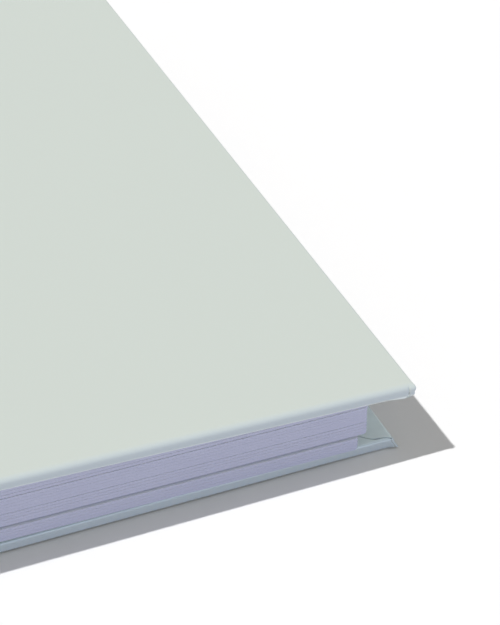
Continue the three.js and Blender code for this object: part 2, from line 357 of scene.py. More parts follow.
cloud = noise_at(pulp, given["Cloud Size"], CLOUD_DETAIL, place)
fibre = noise_at(pulp, given["Fibre Size"], FIBRE_DETAIL, place)
fine_size = maths(pulp, "MULTIPLY", given["Fibre Size"], FINE_SIZE_SHARE)
fine = noise_at(pulp, fine_size, FINE_DETAIL, place)
height = maths(pulp, "MULTIPLY_ADD", fine, FINE_HEIGHT_SHARE, fibre)
density = maths(pulp, "DIVIDE", 1.0, given["Speck Spacing"])
specks = put(pulp, "ShaderNodeTexVoronoi", {"Vector": place, "Scale": density})
reach = maths(pulp, "DIVIDE", given["Speck Radius"], given["Speck Spacing"])
away = maths(pulp, "DIVIDE", specks.outputs["Distance"], reach)
near = maths(pulp, "SUBTRACT", 1.0, away, use_clamp=True)
speck = maths(pulp, "MULTIPLY", near, given["Speck Share"])
shift = maths(pulp, "MULTIPLY_ADD", cloud, given["Cloud Share"], 1.0)
shift = maths(pulp, "MULTIPLY_ADD", height, given["Fibre Share"], shift)
shift = maths(pulp, "SUBTRACT", shift, speck)
tinted = blend_colours(pulp, "MULTIPLY", 1.0, given["Colour"], xyz(pulp, shift, shift, shift))
pulp.links.new(tinted, wanted["Colour"])
pulp.links.new(height, wanted["Height"])
print("pulp group:", len(pulp.nodes), "nodes")

# %% [markdown]
# Two places on a sheet get a colour of their own. On a cover, the paper over a fold is stretched thin and a touch
# paler, in patches. Along the sharp inner edge that paleness is also a painted highlight, and the turned-in
# margins are paler only as painted fill light for the shade between the covers. The cut edges of the card are
# darker than its face, partly as painted shade of the fine gaps between sheets. Each piece carries those places as
# an attribute called edge, and a second group turns it into a broken-up tint.

# %% Group for a pale or cut edge, partly painted light
PATCH_DETAIL = 2

edge_and_painted_light_tint, given, wanted = new_group(
    "ShaderNodeTree",
    "edge_and_painted_light_tint",
    {
        "Colour": ("Color", (0.6, 0.6, 0.6, 1)),
        "Edge Colour": ("Color", (0.7, 0.7, 0.7, 1)),
        "Edge": ("Float", 0.0),
        "Patch Size": ("Float", 4 * MM),
        "Patchiness": ("Float", 0.5),
        "Amount": ("Float", 0.5),
    },
    {"Colour": "Color"},
)
place = put(edge_and_painted_light_tint, "ShaderNodeTexCoord").outputs["Object"]
patches = noise_at(edge_and_painted_light_tint, given["Patch Size"], PATCH_DETAIL, place)
kept = maths(edge_and_painted_light_tint, "MULTIPLY_ADD", patches, given["Patchiness"], 1.0)
mask = maths(edge_and_painted_light_tint, "MULTIPLY", given["Edge"], given["Amount"])
mask = maths(edge_and_painted_light_tint, "MULTIPLY", mask, kept, use_clamp=True)
tinted = blend_colours(edge_and_painted_light_tint, "MIX", mask, given["Colour"], given["Edge Colour"])
edge_and_painted_light_tint.links.new(tinted, wanted["Colour"])
print("edge group:", len(edge_and_painted_light_tint.nodes), "nodes")

# %% [markdown]
# ## Four paper finishes
#
# Cover paper, lining paper, the grey pulp board inside the covers and the white card of the leaves
# are the same recipe with different numbers. The colours were read against the lit picture:
# a pale grey-green for the covers, and card that looks white on its face and lilac where it is cut,
# as brightened card does in shade.

# %% Paper materials
ROUGHNESS_SWING = 0.04


def paper(name, tint, pulp_values, edge_values, bump, roughness, specular):
    """A matt sheet: pulp tint, edge tint with its painted light, and a fine bump on a Principled shader."""
    material, tree, shader = new_material(name)
    look = put(tree, "ShaderNodeGroup", {"Colour": tint, **pulp_values}, node_tree=pulp).outputs
    edge = put(tree, "ShaderNodeAttribute", attribute_name="edge").outputs["Fac"]
    rim_inputs = {"Colour": look["Colour"], "Edge": edge, **edge_values}
    rim = put(tree, "ShaderNodeGroup", rim_inputs, node_tree=edge_and_painted_light_tint).outputs
    relief = {"Height": look["Height"], "Strength": 1.0, "Distance": bump}
    feed(tree, shader, {
        "Base Color": rim["Colour"],
        "Roughness": maths(tree, "MULTIPLY_ADD", look["Height"], ROUGHNESS_SWING, roughness),
        "Normal": put(tree, "ShaderNodeBump", relief).outputs[0],
        "Specular IOR Level": specular,
    })
    return material


COVER_TINT = (0.585, 0.620, 0.545, 1)
# This pale tint is partly wear and partly painted light: a painted highlight on the inner fold and painted fill
# light on the turned-in margins.
WORN_AND_PAINTED_LIGHT_TINT = (0.83, 0.90, 0.79, 1)
# The lining tint is lighter than the paper's own colour, as painted fill light for the shade between the covers.
LINING_TINT = (0.70, 0.73, 0.63, 1)
BOARD_TINT = (0.27, 0.25, 0.22, 1)
CARD_TINT = (0.80, 0.785, 0.765, 1)
# The cut-edge tint is darker than the card's face, partly as painted shade of the fine gaps between sheets.
CUT_AND_GAP_SHADE_TINT = (0.486, 0.477, 0.515, 1)

cover_paper = paper(
    "sage_paper",
    COVER_TINT,
    {"Cloud Size": 50 * MM, "Cloud Share": 0.006, "Fibre Size": 0.6 * MM, "Fibre Share": 0.008,
     "Speck Spacing": 21 * MM, "Speck Radius": 0.22 * MM, "Speck Share": 0.16},
    {"Edge Colour": WORN_AND_PAINTED_LIGHT_TINT, "Patch Size": 6 * MM, "Patchiness": 0.5, "Amount": 0.75},
    bump=0.004 * MM, roughness=0.62, specular=0.35,
)
lining_paper = paper(
    "lining_paper",
    LINING_TINT,
    {"Cloud Size": 30 * MM, "Cloud Share": 0.012, "Fibre Size": 0.7 * MM, "Fibre Share": 0.014,
     "Speck Spacing": 17 * MM, "Speck Radius": 0.2 * MM, "Speck Share": 0.12},
    {"Amount": 0.0},
    bump=0.006 * MM, roughness=0.75, specular=0.25,
)
pulp_board = paper(
    "pulp_board",
    BOARD_TINT,
    {"Cloud Size": 8 * MM, "Cloud Share": 0.08, "Fibre Size": 0.8 * MM, "Fibre Share": 0.14,
     "Speck Spacing": 3 * MM, "Speck Radius": 0.3 * MM, "Speck Share": 0.3},
    {"Amount": 0.0},
    bump=0.03 * MM, roughness=0.9, specular=0.2,
)
leaf_card = paper(
    "white_card",
    CARD_TINT,
    {"Cloud Size": 40 * MM, "Cloud Share": 0.008, "Fibre Size": 0.5 * MM, "Fibre Share": 0.012,
     "Speck Spacing": 50 * MM, "Speck Radius": 0.1 * MM, "Speck Share": 0.06},
    {"Edge Colour": CUT_AND_GAP_SHADE_TINT, "Patch Size": 9 * MM, "Patchiness": 0.05, "Amount": 0.95},
    bump=0.008 * MM, roughness=0.8, specular=0.25,
)
print("papers:", [cover_paper.name, lining_paper.name, pulp_board.name, leaf_card.name])

# %% [markdown]
# ## Steel wire
#
# Binding wire is drawn through a die, which leaves fine scratches along it, and then it is bent on
# rollers, which dull it in patches. The wire is plain metal. The scratches are noise in the bump,
# and the patches are noise in the roughness.

# %% Wire material
WIRE_TINT = (0.60, 0.60, 0.61, 1)
WIRE_ROUGHNESS = 0.30
WIRE_DETAIL = 2
SCRATCH_SIZE = 0.12 * MM
SCRATCH_DEPTH = 0.003 * MM
SCRATCH_SWING = 0.03
DULL_PATCH = 6 * MM
DULL_SWING = 0.07
DULL_GREY = 0.04

drawn_steel, tree, shader = new_material("drawn_steel")
place = put(tree, "ShaderNodeTexCoord").outputs["Object"]
scratch = noise_at(tree, SCRATCH_SIZE, WIRE_DETAIL, place)
dull = noise_at(tree, DULL_PATCH, WIRE_DETAIL, place)
rough = maths(tree, "MULTIPLY_ADD", dull, DULL_SWING, WIRE_ROUGHNESS)
grey = maths(tree, "MULTIPLY_ADD", dull, DULL_GREY, 1.0)
relief = {"Height": scratch, "Strength": 1.0, "Distance": SCRATCH_DEPTH}
feed(tree, shader, {
    "Metallic": 1,
    "Base Color": blend_colours(tree, "MULTIPLY", 1.0, WIRE_TINT, xyz(tree, grey, grey, grey)),
    "Roughness": maths(tree, "MULTIPLY_ADD", scratch, SCRATCH_SWING, rough),
    "Normal": put(tree, "ShaderNodeBump", relief).outputs[0],
})
print("wire material:", len(tree.nodes), "nodes")

# %% [markdown]
# ## The punched row
#
# One die punches the same fifteen holes through every sheet, so the holes are one tree. A rounded
# rectangle is filled and raised into a plug, the plug is repeated at the pitch of the wire, and the
# row of plugs is cut out of the sheets. The plate that the plug is made of is a group of its own,
# because the leaves need it too.

# %% Tree for a rounded plate
CORNER_STEPS = 4
JOIN_DISTANCE = 0.001 * MM

plate, given, wanted = new_group(
    "GeometryNodeTree",
    "rounded_plate",
    {
        "Length": ("Float", 100 * MM),
        "Width": ("Float", 100 * MM),
        "Corner": ("Float", 1 * MM),
        "Bottom": ("Float", 0.0),
        "Thickness": ("Float", 1 * MM),
    },
    {"Mesh": "Geometry"},
)
sides = {"Width": given["Length"], "Height": given["Width"]}
outline = put(plate, "GeometryNodeCurvePrimitiveQuadrilateral", sides).outputs[0]
fillet = {"Curve": outline, "Radius": given["Corner"], "Count": CORNER_STEPS}
rounded = put(plate, "GeometryNodeFilletCurve", fillet, mode="POLY").outputs[0]
filled = put(plate, "GeometryNodeFillCurve", {"Curve": rounded}, mode="NGONS").outputs[0]
lowered = {"Geometry": filled, "Offset": xyz(plate, z=given["Bottom"])}
floor_face = put(plate, "GeometryNodeSetPosition", lowered).outputs[0]


def raised(tree, sheet, thickness):
    """A closed slab from a flat sheet that faces up."""
    pull = {"Mesh": sheet, "Offset": xyz(tree, z=1.0), "Offset Scale": thickness, "Individual": False}
    top = put(tree, "GeometryNodeExtrudeMesh", pull)
    bottom = put(tree, "GeometryNodeFlipFaces", {"Mesh": sheet})
    both = put(tree, "GeometryNodeJoinGeometry")
    tree.links.new(top.outputs["Mesh"], both.inputs[0])
    tree.links.new(bottom.outputs[0], both.inputs[0])
    join = {"Geometry": both.outputs[0], "Distance": JOIN_DISTANCE}
    return put(tree, "GeometryNodeMergeByDistance", join).outputs[0]


plate.links.new(raised(plate, floor_face, given["Thickness"]), wanted["Mesh"])
print("plate tree:", len(plate.nodes), "nodes")

# %% [markdown]
# A row along the spine is wanted twice, once for the holes and once for the loops of the wire. So
# the points of a row are a helper, and so is the end of a tree, which turns copies into real
# geometry and gives them their material.

# %% Tree for the row of plugs
HOLE_COUNT = 15
HOLE_PITCH = 12.7 * MM
HOLE_WIDTH = 6.35 * MM
SPINE_MARGIN = 4 * MM
HOLE_CORNER = 0.8 * MM
PUNCH_DEPTH = 8 * MM


def spine_points(tree, count, pitch, place=0.0):
    """Points along the spine at this pitch, with the middle of their row at y = 0."""
    gaps = maths(tree, "SUBTRACT", count, 1.0)
    first = maths(tree, "MULTIPLY", maths(tree, "MULTIPLY", gaps, pitch), -0.5)
    line = {"Count": count, "Start Location": xyz(tree, place, first), "Offset": xyz(tree, y=pitch)}
    return put(tree, "GeometryNodeMeshLine", line).outputs[0]


def end_tree(tree, geometry, material, result):
    """End a tree: make instances real, set the material and give the shape out."""
    solid = put(tree, "GeometryNodeRealizeInstances", {"Geometry": geometry}).outputs[0]
    finish = put(tree, "GeometryNodeSetMaterial", {"Geometry": solid, "Material": material})
    tree.links.new(finish.outputs[0], result)


punch, given, wanted = new_group(
    "GeometryNodeTree",
    "punched_row",
    {
        "Holes": ("Int", HOLE_COUNT),
        "Pitch": ("Float", HOLE_PITCH),
        "Hole Length": ("Float", HOLE_WIDTH),
        "Hole Width": ("Float", HOLE_WIDTH),
        "Hole Corner": ("Float", HOLE_CORNER),
        "Row Place": ("Float", 0.0),
        "Depth": ("Float", PUNCH_DEPTH),
        "Material": ("Material", None),
    },
    {"Mesh": "Geometry"},
)
plug_sizes = {
    "Length": given["Hole Length"],
    "Width": given["Hole Width"],
    "Corner": given["Hole Corner"],
    "Bottom": maths(punch, "MULTIPLY", given["Depth"], -0.5),
    "Thickness": given["Depth"],
}
plug = put(punch, "GeometryNodeGroup", plug_sizes, node_tree=plate).outputs[0]
row = spine_points(punch, given["Holes"], given["Pitch"], given["Row Place"])
plugs = put(punch, "GeometryNodeInstanceOnPoints", {"Points": row, "Instance": plug}).outputs[0]
end_tree(punch, plugs, given["Material"], wanted["Mesh"])


def closed_volume(mesh):
    """Volume in cubic millimetres, and how many edges don't have exactly two faces."""
    form = bmesh.new()
    form.from_mesh(mesh)
    loose = sum(1 for edge in form.edges if len(edge.link_faces) != 2)
    volume = form.calc_volume(signed=True) / MM ** 3
    form.free()
    return round(volume, 1), loose


def row_of_plugs(place, length):
    """The plugs of one sheet, with their row at this distance from the middle of the tree."""
    return grow("plugs", punch, {"Row Place": place, "Hole Length": length})


print("fifteen plugs, volume and open edges:", closed_volume(row_of_plugs(0.0, HOLE_WIDTH)))

# %% [markdown]
# ## The wrapped covers
#
# A cover is 2 mm greyboard in a sheet of paper. The blade that cuts the board presses the outer edge
# of the tail and head round, does so less at the other two sides, and leaves the inner edge sharp.
# The folded paper stands out a little as a ridge just under that inner edge. The section is
# therefore a list of rows, each with a height and a distance in from the side, and the plan is a
# list of stations round a rectangle. Joining rows and stations gives one closed slab.

# %% Section of a cover
PAPER = 0.2 * MM
PASTE = 0.05 * MM
BACK_EDGES = (0.45 * MM, 0.65 * MM)
FRONT_EDGES = (0.45 * MM, 1.25 * MM)
RIDGE = 0.09 * MM
RIDGE_FOOT = 0.75 * MM
RIDGE_TOP = 0.5 * MM
INNER_EDGE = 0.4 * MM
LEAST_INNER_EDGE = 0.1 * MM
LEVEL_RIM = 0.4 * MM
INNER_RIMS = ((0.12 * MM, 0.7), (0.45 * MM, 1.0), (1.2 * MM, 0.9), (2.5 * MM, 0.45), (4.5 * MM, 0.0))
OUTER_STEPS = 8
INNER_STEPS = 4
EDGE_TUCK = 0.2


def section(inset, edges):
    """Rows of a slab this far inside the wrap: height, distances in at ends and tail, tuck share."""
    thickness = COVER - 2 * inset
    ends, tail = (edge - inset for edge in edges)
    inner = max(INNER_EDGE - inset, LEAST_INNER_EDGE)
    rows = [(0.0, (ends + RIDGE + LEVEL_RIM, tail + RIDGE + LEVEL_RIM), 0.0)]
    for step in range(OUTER_STEPS + 1):
        height = tail * (1 - math.cos(QUARTER_TURN * step / OUTER_STEPS))
        insets = []
        for edge in (ends, tail):
            insets.append(RIDGE + edge - math.sqrt(max(0, edge ** 2 - max(0, edge - height) ** 2)))
        rows.append((height, insets, 0.0))
    rows.append((thickness - RIDGE_FOOT, (RIDGE, RIDGE), 0.0))
    rows.append((thickness - RIDGE_TOP, (0, 0), 0.0))
    for step in range(INNER_STEPS + 1):
        turn = QUARTER_TURN * step / INNER_STEPS
        distance = inner * (1 - math.cos(turn))
        height = thickness - inner * (1 - math.sin(turn))
        rows.append((height, (distance, distance), EDGE_TUCK * step / INNER_STEPS))
    for rim, share in INNER_RIMS:
        rows.append((thickness, (inner + rim, inner + rim), share))
    return [(height, [inset + distance for distance in insets], share) for height, insets, share in rows]


print("rows in a cover's section:", len(section(0, FRONT_EDGES)))

# %% [markdown]
# The stations are closest beside the corners, where the crease and the ear need them. A station
# keeps its share of the side whatever the distance in, so the rows never cross at a corner.

# %% Slab from rows and stations
CORNER = 0.35 * MM
LEAST_CORNER = 0.04 * MM
ARC_STEPS = 4
NEAR_STEP = 0.15 * MM
NEAR_STEPS = 10
FAR_STEP = 6 * MM


def side_shares(length):
    """Shares of a side at which it has a station, close together near both ends."""
    near = [NEAR_STEP * step / length for step in range(1, NEAR_STEPS + 1)]
    count = math.ceil((length - 2 * near[-1] * length) / FAR_STEP)
    middle = [near[-1] + (1 - 2 * near[-1]) * step / count for step in range(1, count)]
    return near + middle + [1 - share for share in reversed(near)]


def direction(turn):
    """Unit vector in the plane of a sheet, at this turn from the x axis."""
    return Vector((math.cos(turn), math.sin(turn)))


def outline_at(insets, bumps, height, tuck):
    """Points of one row round the slab, from the near corner on. The bumps function moves them."""
    corner = max(CORNER - min(insets), LEAST_CORNER)
    left, right = insets[0] + corner, COVER_WIDTH - insets[0] - corner
    half = COVER_HEIGHT / 2 - insets[1] - corner
    centres = [Vector(centre) for centre in ((right, -half), (right, half), (left, half), (left, -half))]
    points = []
    for number, centre in enumerate(centres):
        following = centres[(number + 1) % 4]
        for step in range(ARC_STEPS + 1):
            outward = direction(QUARTER_TURN * (number - 1 + step / ARC_STEPS))
            spot = (centre + outward * corner).to_3d()
            points.append(spot + bumps(number, 0.0, outward, height, tuck))
        outward = direction(QUARTER_TURN * number)
        length = (following - centre).length
        for share in side_shares((COVER_HEIGHT, COVER_WIDTH)[number % 2] - 2 * CORNER):
            spot = (centre.lerp(following, share) + outward * corner).to_3d()
            points.append(spot + bumps(number, share * length, outward, height, tuck, length))
    return points


def skin(form, rings):
    """Join rings of vertices into a closed skin, with a face over each end."""
    for low, high in zip(rings, rings[1:]):
        for index in range(len(low)):
            after = (index + 1) % len(low)
            form.faces.new((low[index], low[after], high[after], high[index]))
    form.faces.new(rings[-1])
    form.faces.new(reversed(rings[0]))


def as_mesh(form, name):
    """Turn a finished bmesh form into a mesh."""
    mesh = bpy.data.meshes.new(name)
    form.to_mesh(mesh)
    form.free()
    return mesh


def slab(inset, edges, bumps):
    """A closed slab in a cover's own axes: spine edge at x = 0, outer face at z = 0."""
    form = bmesh.new()
    rings = []
    for height, insets, tuck in section(inset, edges):
        ring = outline_at(insets, bumps, height, tuck)
        rings.append([form.verts.new(point + Vector((0, 0, inset + height))) for point in ring])
    skin(form, rings)
    return as_mesh(form, "slab")


def no_bumps(number, along, outward, height, tuck, length=0.0):
    """A slab that keeps its plain outline."""
    return Vector((0, 0, 0))


print("board volume and open edges:", closed_volume(slab(PAPER + PASTE, FRONT_EDGES, no_bumps)))

# %% [markdown]
# At each corner the paper is tucked in by hand. That leaves a small upright crease beside the
# corner, a lump on it called an ear, and a thicker place where the tuck is turned in. All three are
# bell curves. The sides themselves wander by a few hundredths of a millimetre, as paper over board
# does. The picture shows the near corner of both covers, and the others get much the same lumps.
# A list has one value for each corner. The near one comes first on the back cover, and second on
# the front cover, which is turned over.

# %% Ears, creases and wandering edges
CREASE_DEPTH = 0.2 * MM
CREASE_REACH = 0.8 * NEAR_STEP
CREASE_START = 0.5 * MM
EAR_HEIGHT = 0.7 * MM
EAR_REACH = 0.7 * MM
EAR_START = 0.4 * MM
TUCK_PLACE = 1.5 * MM
TUCK_REACH = 2.2 * MM
EDGE_WANDER = 0.035 * MM
WANDER_LENGTH = 14 * MM
WANDER_FADE = 3 * MM
WANDER_START = 0.3 * MM
WANDER_ROW = 7.3


def bell(distance, reach):
    """1 in the middle, dying away over the reach."""
    return math.exp(-((distance / reach) ** 2))


def folded_edge(ears, creases, tucks, seed):
    """Bumps for a wrap: how far its ears and tucks stand out and where its creases are, by corner."""
    def bumps(number, along, outward, height, tuck, length=0.0):
        move = Vector((0, 0))
        drop = 0.0
        rise = bell(height - EAR_HEIGHT, EAR_REACH) * min(1, height / EAR_START)
        for corner, distance in ((number, along), ((number + 1) % 4, length - along)):
            if not length and corner != number:
                continue
            diagonal = direction(QUARTER_TURN * (corner - 0.5))
            move += diagonal * ears[corner] * rise * bell(distance, EAR_REACH)
            drop += tucks[corner] * tuck * bell(distance - TUCK_PLACE, TUCK_REACH)
            if length and number % 2 == 1:
                deep = bell(distance - creases[corner], CREASE_REACH) * min(1, height / CREASE_START)
                move -= outward * CREASE_DEPTH * deep
        if length:
            where = Vector((along / WANDER_LENGTH, number * WANDER_ROW + seed, 0.0))
            fade = min(1, along / WANDER_FADE, (length - along) / WANDER_FADE)
            level = min(1, height / WANDER_START)
            move += outward * EDGE_WANDER * noise.noise(where) * fade * level
        return Vector((move.x, move.y, drop))
    return bumps


BACK_EARS = (1.2 * MM, 0.6 * MM, 0.5 * MM, 0.6 * MM)
BACK_CREASES = (0.3 * MM, 0.6 * MM, 0.9 * MM, 0.75 * MM)
BACK_TUCKS = (0.15 * MM, 0.2 * MM, 0.15 * MM, 0.2 * MM)
BACK_SEED = 3.1
FRONT_EARS = (0.4 * MM, 0.3 * MM, 0.45 * MM, 0.5 * MM)
FRONT_CREASES = (0.6 * MM, 1.05 * MM, 0.6 * MM, 0.9 * MM)
FRONT_TUCKS = (0.3 * MM, 0.9 * MM, 0.2 * MM, 0.3 * MM)
FRONT_SEED = 11.7
print("near ears in mm:", round(BACK_EARS[0] / MM, 2), round(FRONT_EARS[1] / MM, 2))

# %% [markdown]
# Four things are cut out of the slab to leave a sheet of paper: the board's pocket, the window
# between the turned-in margins, the punched row, and the seams. A seam is where two turned-in
# margins meet. It leaves the corner almost along the tail, wanders, and then runs at 45 degrees.
# Its course was measured on the near corner, and the cutter is a thin ribbon along it. A point
# of the course says in millimetres how far in it lies from the side and from the tail, and how wide
# the seam is there.

# %% Seams
SEAM = (
    (-0.3, 0.1, 0.3), (0.3, 0.3, 0.3), (1.34, 0.62, 0.26), (2.39, 0.88, 0.30), (3.23, 1.0, 0.42),
    (3.9, 1.12, 0.40), (4.42, 1.3, 0.30), (5.15, 1.84, 0.26), (5.7, 2.5, 0.25), (6.42, 3.19, 0.22),
    (18.4, 15.2, 0.2),
)
SEAM_DEPTH = 0.225 * MM
SEAM_HEAD = 0.5 * MM


def seam_ribbons():
    """Four thin upright ribbons, one on each corner of the inner face."""
    form = bmesh.new()
    heights = {-1: COVER - SEAM_DEPTH, 1: COVER + SEAM_HEAD}
    for right, up in ((1, -1), (1, 1), (-1, 1), (-1, -1)):
        course = []
        for inward, rise, width in SEAM:
            x = COVER_WIDTH - inward * MM if right > 0 else inward * MM
            course.append((Vector((x, up * (COVER_HEIGHT / 2 - rise * MM))), width * MM / 2))
        rings = []
        for index, (spot, half) in enumerate(course):
            before = course[max(index - 1, 0)][0]
            after = course[min(index + 1, len(course) - 1)][0]
            across = Vector((before.y - after.y, after.x - before.x)).normalized() * half
            corners = [(spot - across, -1), (spot + across, -1), (spot + across, 1), (spot - across, 1)]
            rings.append([form.verts.new((point.x, point.y, heights[level])) for point, level in corners])
        skin(form, rings)
    bmesh.ops.recalc_face_normals(form, faces=form.faces)
    return as_mesh(form, "seams")


print("seams, volume and open edges:", closed_volume(seam_ribbons()))

# %% [markdown]
# The window is a plain block. All cutters are solids, so a Boolean modifier takes each of them out
# in turn, and its result is kept as a mesh.

# %% Window and carving
TURN_IN = 15 * MM


def window_block():
    """The opening between the turned-in margins, as a block."""
    form = bmesh.new()
    size = (COVER_WIDTH - 2 * TURN_IN, COVER_HEIGHT - 2 * TURN_IN, COVER)
    bmesh.ops.create_cube(form, size=1)
    bmesh.ops.scale(form, vec=size, verts=form.verts)
    bmesh.ops.translate(form, vec=(COVER_WIDTH / 2, 0, COVER), verts=form.verts)
    return as_mesh(form, "window")


def carve(mesh, cutters):
    """The mesh with each cutter taken out of it in turn."""
    piece = add_object("piece", mesh)
    tools = []
    for cutter in cutters:
        tools.append(add_object("tool", cutter))
        modifier = piece.modifiers.new("carve", "BOOLEAN")
        modifier.object = tools[-1]
        modifier.solver = "MANIFOLD"
    carved = piece.evaluated_get(bpy.context.evaluated_depsgraph_get())
    result = bpy.data.meshes.new_from_object(carved)
    for used in (piece, *tools):
        bpy.data.objects.remove(used)
    return result


print("window, volume and open edges:", closed_volume(window_block()))

# %% [markdown]
# ## The bow of the back cover
#
# The back cover isn't quite straight. Its outer half lies nearly flat, a fifth of a millimetre over
# the table, while its spine is held up by the wire, so the pulp board has bowed by about a
# millimetre. The straight pieces are sliced across, and then each slice is let down to that curve.

# %% The bow of the back cover
FLAT_FROM = 30 * MM
LIFT = 0.2 * MM
BOW_END = -85 * MM
SLICE = 10 * MM
SLICE_SNAP = 0.00001 * MM
WELD = 0.0001 * MM

foot = BACK_HIGH.x * math.cos(BACK_SLOPE) + PIVOT.x


def plane_height(x):
    """Height of the straight back cover over the table."""
    return (foot - x) * math.tan(BACK_SLOPE)


def bow(x):
    """How far the back cover is let down here: nearly to the table, then less to the wire."""
    if x >= FLAT_FROM:
        return max(0, plane_height(x) - LIFT)
    share = min(1, (FLAT_FROM - x) / (FLAT_FROM - BOW_END))
    end = plane_height(BOW_END)
    slope = math.tan(BACK_SLOPE) * (FLAT_FROM - BOW_END)
    ease = 3 * share ** 2 - 2 * share ** 3
    curve = LIFT * (1 - ease) + end * ease + slope * (share ** 3 - share ** 2)
    return plane_height(x) - curve if share < 1 else 0


def bowed(mesh):
    """The mesh sliced across and let down to the bow."""
    form = bmesh.new()
    form.from_mesh(mesh)
    bmesh.ops.triangulate(form, faces=form.faces)
    for x in np.arange(BOW_END, BACK_HIGH.x, SLICE):
        cut = form.verts[:] + form.edges[:] + form.faces[:]
        bmesh.ops.bisect_plane(form, geom=cut, dist=SLICE_SNAP, plane_co=(x, 0, 0), plane_no=(1, 0, 0))
    for vertex in form.verts:
        vertex.co.z -= bow(vertex.co.x)
    form.to_mesh(mesh)
    form.free()
    return mesh


def welded(mesh):
    """A copy of a plain mesh with its loose triangles joined."""
    form = bmesh.new()
    form.from_mesh(mesh)
    bmesh.ops.remove_doubles(form, verts=form.verts, dist=WELD)
    return as_mesh(form, "lining")


print("bow in mm:", [round(bow(x * MM) / MM, 2) for x in (-90, -60, -30, 0, 30, 60, 100)])

# %% [markdown]
# ## Assembling the covers
#
# Each piece is declared once it is in place: which body it rides on, which plain node it stands for
# and which finish it has. Before that, the wrap is told where it is paler: a faint worn line on the
# rounded outer edge, a stronger line on the sharp inner edge that is partly wear and partly a painted
# highlight, and the turned-in margins, whose paleness is painted fill light for the shade between the covers.

# %% Declaring a piece and marking its edges
WORN_DEPTH = 0.35 * MM
WORN_OUTER = 0.05
INNER_WEAR_AND_HIGHLIGHT = 0.15 * MM
# The turned-in margins are paler as painted fill light for the shade between the covers.
MARGIN_FILL_LIGHT = 1.2
MARGIN_DEPTH = 0.1 * MM


def declare(name, mesh, material, body, node, sharp_from=32):
    """Make a mesh one finished piece and tell the frame about it."""
    mesh.name = name
    mesh.materials.clear()
    mesh.materials.append(material)
    mesh.shade_smooth()
    mesh.set_sharp_from_angle(angle=math.radians(sharp_from))
    piece = add_object(name, mesh)
    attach(piece, body)
    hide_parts(node)
    album.objects.link(piece)
    return piece


def mark_edges(mesh):
    """Store each vertex's paleness: worn outer edge, inner edge partly painted highlight, margin painted fill
    light.
    """
    layer = mesh.attributes.new("edge", "FLOAT", "POINT")
    for vertex, value in zip(mesh.vertices, layer.data):
        x, y, z = vertex.co
        side = min(x, COVER_WIDTH - x, COVER_HEIGHT / 2 - abs(y))
        outer = bell(side - WORN_DEPTH, WORN_DEPTH) * bell(z - WORN_DEPTH, WORN_DEPTH) * WORN_OUTER
        inner = bell(side - INNER_WEAR_AND_HIGHLIGHT, INNER_WEAR_AND_HIGHLIGHT) * bell(COVER - z - INNER_WEAR_AND_HIGHLIGHT, INNER_WEAR_AND_HIGHLIGHT)
        painted_margin_light = MARGIN_FILL_LIGHT if z > COVER - MARGIN_DEPTH and side > WORN_DEPTH else 0
        value.value = outer + max(inner, painted_margin_light)
    return mesh


# The pale inner line is partly wear and partly a painted highlight.
print("worn line in mm:", round(INNER_WEAR_AND_HIGHLIGHT / MM, 2), "from the inner edge")

# %% [markdown]
# The front cover is the back one turned over, so both come from the same three recipes. The wrap is
# carved out of a slab with all its lumps, and the board out of a plain one that is smaller by the
# paper and the paste. The lining is the plain solid, with its loose triangles joined. The holes
# are as long as those of the plain leaf.

# %% Two covers
leaf_lines = sorted({round(x / MM, 3) for x in own_points("leaf_01", BACK_SLOPE)[:, 0].tolist()})
HOLE_LENGTH = (leaf_lines[2] - leaf_lines[1]) * MM
print("leaf lines in mm:", leaf_lines)


def cover_pieces(side, place, edges, folds):
    """Paper, board and lining of a cover: part name, mesh, finish, ending of its node, and slot."""
    holes = row_of_plugs(SPINE_MARGIN + HOLE_LENGTH / 2, HOLE_LENGTH)
    cutters = [slab(PAPER, edges, no_bumps), window_block(), holes, seam_ribbons()]
    wrap = mark_edges(carve(slab(0.0, edges, folded_edge(*folds)), cutters))
    board = carve(slab(PAPER + PASTE, edges, no_bumps), [holes.copy()])
    wrap.transform(place)
    board.transform(place)
    return (
        ("paper", wrap, cover_paper, "wrap", "cover_paper"),
        ("core", board, pulp_board, "board", "greyboard"),
        ("lining", welded(frame["nodes"][side + "_liner"].data), lining_paper, "liner", "liner_paper"),
    )


back_corner = (BACK_LOW.x, (BACK_LOW.y + BACK_HIGH.y) / 2, BACK_LOW.z)
back_place = placed(BACK_SLOPE) @ Matrix.Translation(back_corner)
front_corner = (FRONT_LOW.x, (FRONT_LOW.y + FRONT_HIGH.y) / 2, FRONT_HIGH.z)
front_place = placed(FRONT_SLOPE) @ Matrix.Translation(front_corner)
front_place = front_place @ Matrix.Rotation(math.pi, 4, "X")

for side, place, edges, folds in (
    ("back", back_place, BACK_EDGES, (BACK_EARS, BACK_CREASES, BACK_TUCKS, BACK_SEED)),
    ("front", front_place, FRONT_EDGES, (FRONT_EARS, FRONT_CREASES, FRONT_TUCKS, FRONT_SEED)),
):
    body = side + "_cover"
    for part, mesh, finish, node, slot in cover_pieces(side, place, edges, folds):
        if side == "back":
            bowed(mesh)
        print(side, part, "volume and open edges:", closed_volume(mesh), "faces", len(mesh.polygons))
        declare(f"{body}_{part}", mesh, finish, body, f"{side}_{node}")

# %% [markdown]
# ## The leaves
#
# Sixteen leaves of heavy card differ only in place, so one tree makes them all. A fine grid is
# raised into a slab and trimmed by a rounded plate, because a guillotined and handled corner isn't
# sharp. That plate reaches past both faces of the slab by one thickness. The row of plugs is cut
# out of it. Noise then lifts the sheet by up to a fiftieth of a millimetre, from nothing at the
# bound edge to all of it at the free one, and its seed is the leaf's number.

# %% Tree for a leaf
GRID_STEP = 5 * MM
LEAF_CORNER = 0.9 * MM
RIPPLE = 0.02 * MM
RIPPLE_LENGTH = 60 * MM
RIPPLE_DETAIL = 1
RIPPLE_LAYER = 3.7
CUT_LIMIT = 0.5

